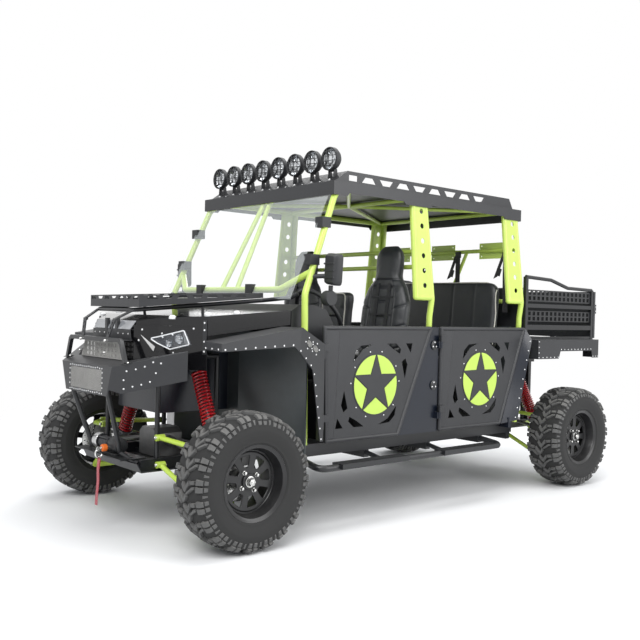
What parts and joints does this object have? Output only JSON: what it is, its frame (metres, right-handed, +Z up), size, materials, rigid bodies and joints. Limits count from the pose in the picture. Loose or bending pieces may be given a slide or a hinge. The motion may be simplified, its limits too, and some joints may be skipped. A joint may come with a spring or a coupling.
{
  "type": "side by side utility vehicle",
  "caption": "Off-road utility vehicle with a tubular cage, side doors, roof rack and lamps, hood tray, steered front wheels and a tilting cargo bed with a drop tailgate.",
  "frame": {"origin": "centre of the vehicle's bounding box, on the ground", "axes": "+X to the vehicle's left, -Y forward, +Z up"},
  "size_m": [1.938, 3.915, 2.198],
  "materials": {
    "tyre_rubber": "matt black rubber",
    "wheel_black": "satin black",
    "lime_paint": "gloss lime green",
    "cast_grey": "as cast",
    "shock_grey": "satin grey",
    "spring_red": "gloss red",
    "bare_steel": "brushed",
    "satin_black": "satin black powder coat",
    "trim_black": "fine grain",
    "floor_grey": "ribbed",
    "gloss_black": "gloss",
    "lamp_glass": "clear lens",
    "clear_sheet": "clear",
    "seat_cover": "fine grain",
    "webbing": "woven"
  },
  "bodies": {
    "chassis": {"arms_front": "lime_paint", "arms_rear": "lime_paint", "bench_rear": "seat_cover", "brush_guard": "satin_black", "bumper_struts": "satin_black", "cage_front": "lime_paint", "cage_middle": "lime_paint", "cage_rear": "lime_paint", "cage_roof": "lime_paint", "clamps": "satin_black", "dash": "trim_black", "drive_units": "cast_grey", "engine_block": "cast_grey", "exhaust": "bare_steel", "fascia": "gloss_black", "floor_pan": "floor_grey", "front_bumper": "satin_black", "front_fenders": "satin_black", "grille": "trim_black", "headlamps": "lamp_glass", "headrest_plates": "satin_black", "hood": "gloss_black", "hood_rack": "satin_black", "main_frame": "satin_black", "mirrors": "trim_black", "rack_tubes": "lime_paint", "roof_lamps": "satin_black", "roof_panel": "satin_black", "seat_belts": "webbing", "seat_boxes": "trim_black", "seats_front": "seat_cover", "shocks": "shock_grey", "side_panels": "satin_black", "side_steps": "satin_black", "skid_plate": "satin_black", "springs": "spring_red", "uprights_rear": "cast_grey", "winch": "satin_black", "windscreen": "clear_sheet"},
    "knuckle_left": {"knuckle_left": "cast_grey"},
    "knuckle_right": {"knuckle_right": "cast_grey"},
    "front_left_wheel": {"tyre_front_left": "tyre_rubber", "wheel_front_left": "wheel_black"},
    "front_right_wheel": {"tyre_front_right": "tyre_rubber", "wheel_front_right": "wheel_black"},
    "rear_left_wheel": {"tyre_rear_left": "tyre_rubber", "wheel_rear_left": "wheel_black"},
    "rear_right_wheel": {"tyre_rear_right": "tyre_rubber", "wheel_rear_right": "wheel_black"},
    "rack": {"steering_rack": "bare_steel"},
    "steering": {"steering_wheel": "trim_black"},
    "door_fl": {"door_front_left": "satin_black"},
    "door_fr": {"door_front_right": "satin_black"},
    "door_rl": {"door_rear_left": "satin_black"},
    "door_rr": {"door_rear_right": "satin_black"},
    "bed": {"bed_tub": "satin_black", "bed_racks": "satin_black"},
    "tailgate": {"tailgate": "satin_black"}
  },
  "joints": [
    {"name": "steer_left", "type": "hinge", "parent": "chassis", "child": "knuckle_left", "pos_m": [0.725, -1.4825, 0.3555], "axis": [0, 0, 1], "range_deg": [-30, 30]},
    {"name": "steer_right", "type": "hinge", "parent": "chassis", "child": "knuckle_right", "pos_m": [-0.725, -1.4825, 0.3555], "axis": [0, 0, 1], "range_deg": [-30.5, 30.5]},
    {"name": "rack_slide", "type": "slide", "parent": "chassis", "child": "rack", "axis": [1, 0, 0], "range_m": [-0.049, 0.049]},
    {"name": "column_turn", "type": "hinge", "parent": "chassis", "child": "steering", "pos_m": [0.37, -0.6025, 1.205], "axis": [0, 0.8192, 0.5736], "range_deg": [-272, 272]},
    {"name": "front_left_spin", "type": "hinge", "parent": "knuckle_left", "child": "front_left_wheel", "pos_m": [0.837, -1.4825, 0.3555], "axis": [1, 0, 0], "continuous": true},
    {"name": "front_right_spin", "type": "hinge", "parent": "knuckle_right", "child": "front_right_wheel", "pos_m": [-0.837, -1.4825, 0.3555], "axis": [1, 0, 0], "continuous": true},
    {"name": "rear_left_spin", "type": "hinge", "parent": "chassis", "child": "rear_left_wheel", "pos_m": [0.837, 1.4495, 0.3555], "axis": [1, 0, 0], "continuous": true},
    {"name": "rear_right_spin", "type": "hinge", "parent": "chassis", "child": "rear_right_wheel", "pos_m": [-0.837, 1.4495, 0.3555], "axis": [1, 0, 0], "continuous": true},
    {"name": "front_left_door", "type": "hinge", "parent": "chassis", "child": "door_fl", "pos_m": [0.771, -0.8985, 0.8], "axis": [0, 0, -1], "range_deg": [0, 65]},
    {"name": "front_right_door", "type": "hinge", "parent": "chassis", "child": "door_fr", "pos_m": [-0.771, -0.8985, 0.8], "axis": [0, 0, 1], "range_deg": [0, 65]},
    {"name": "rear_left_door", "type": "hinge", "parent": "chassis", "child": "door_rl", "pos_m": [0.771, 0.0945, 0.8], "axis": [0, 0, -1], "range_deg": [0, 65]},
    {"name": "rear_right_door", "type": "hinge", "parent": "chassis", "child": "door_rr", "pos_m": [-0.771, 0.0945, 0.8], "axis": [0, 0, 1], "range_deg": [0, 65]},
    {"name": "bed_tilt", "type": "hinge", "parent": "chassis", "child": "bed", "pos_m": [0, 1.7475, 0.95], "axis": [-1, 0, 0], "range_deg": [0, 40]},
    {"name": "tailgate_hinge", "type": "hinge", "parent": "bed", "child": "tailgate", "pos_m": [0, 1.9315, 1.054], "axis": [-1, 0, 0], "range_deg": [0, 90]}
  ],
  "couplings": [
    {"joint": "steer_right", "follows": "steer_left", "ratio": 1},
    {"joint": "rack_slide", "follows": "steer_left", "m_per_rad": -0.0907},
    {"joint": "column_turn", "follows": "steer_left", "ratio": 9}
  ]
}
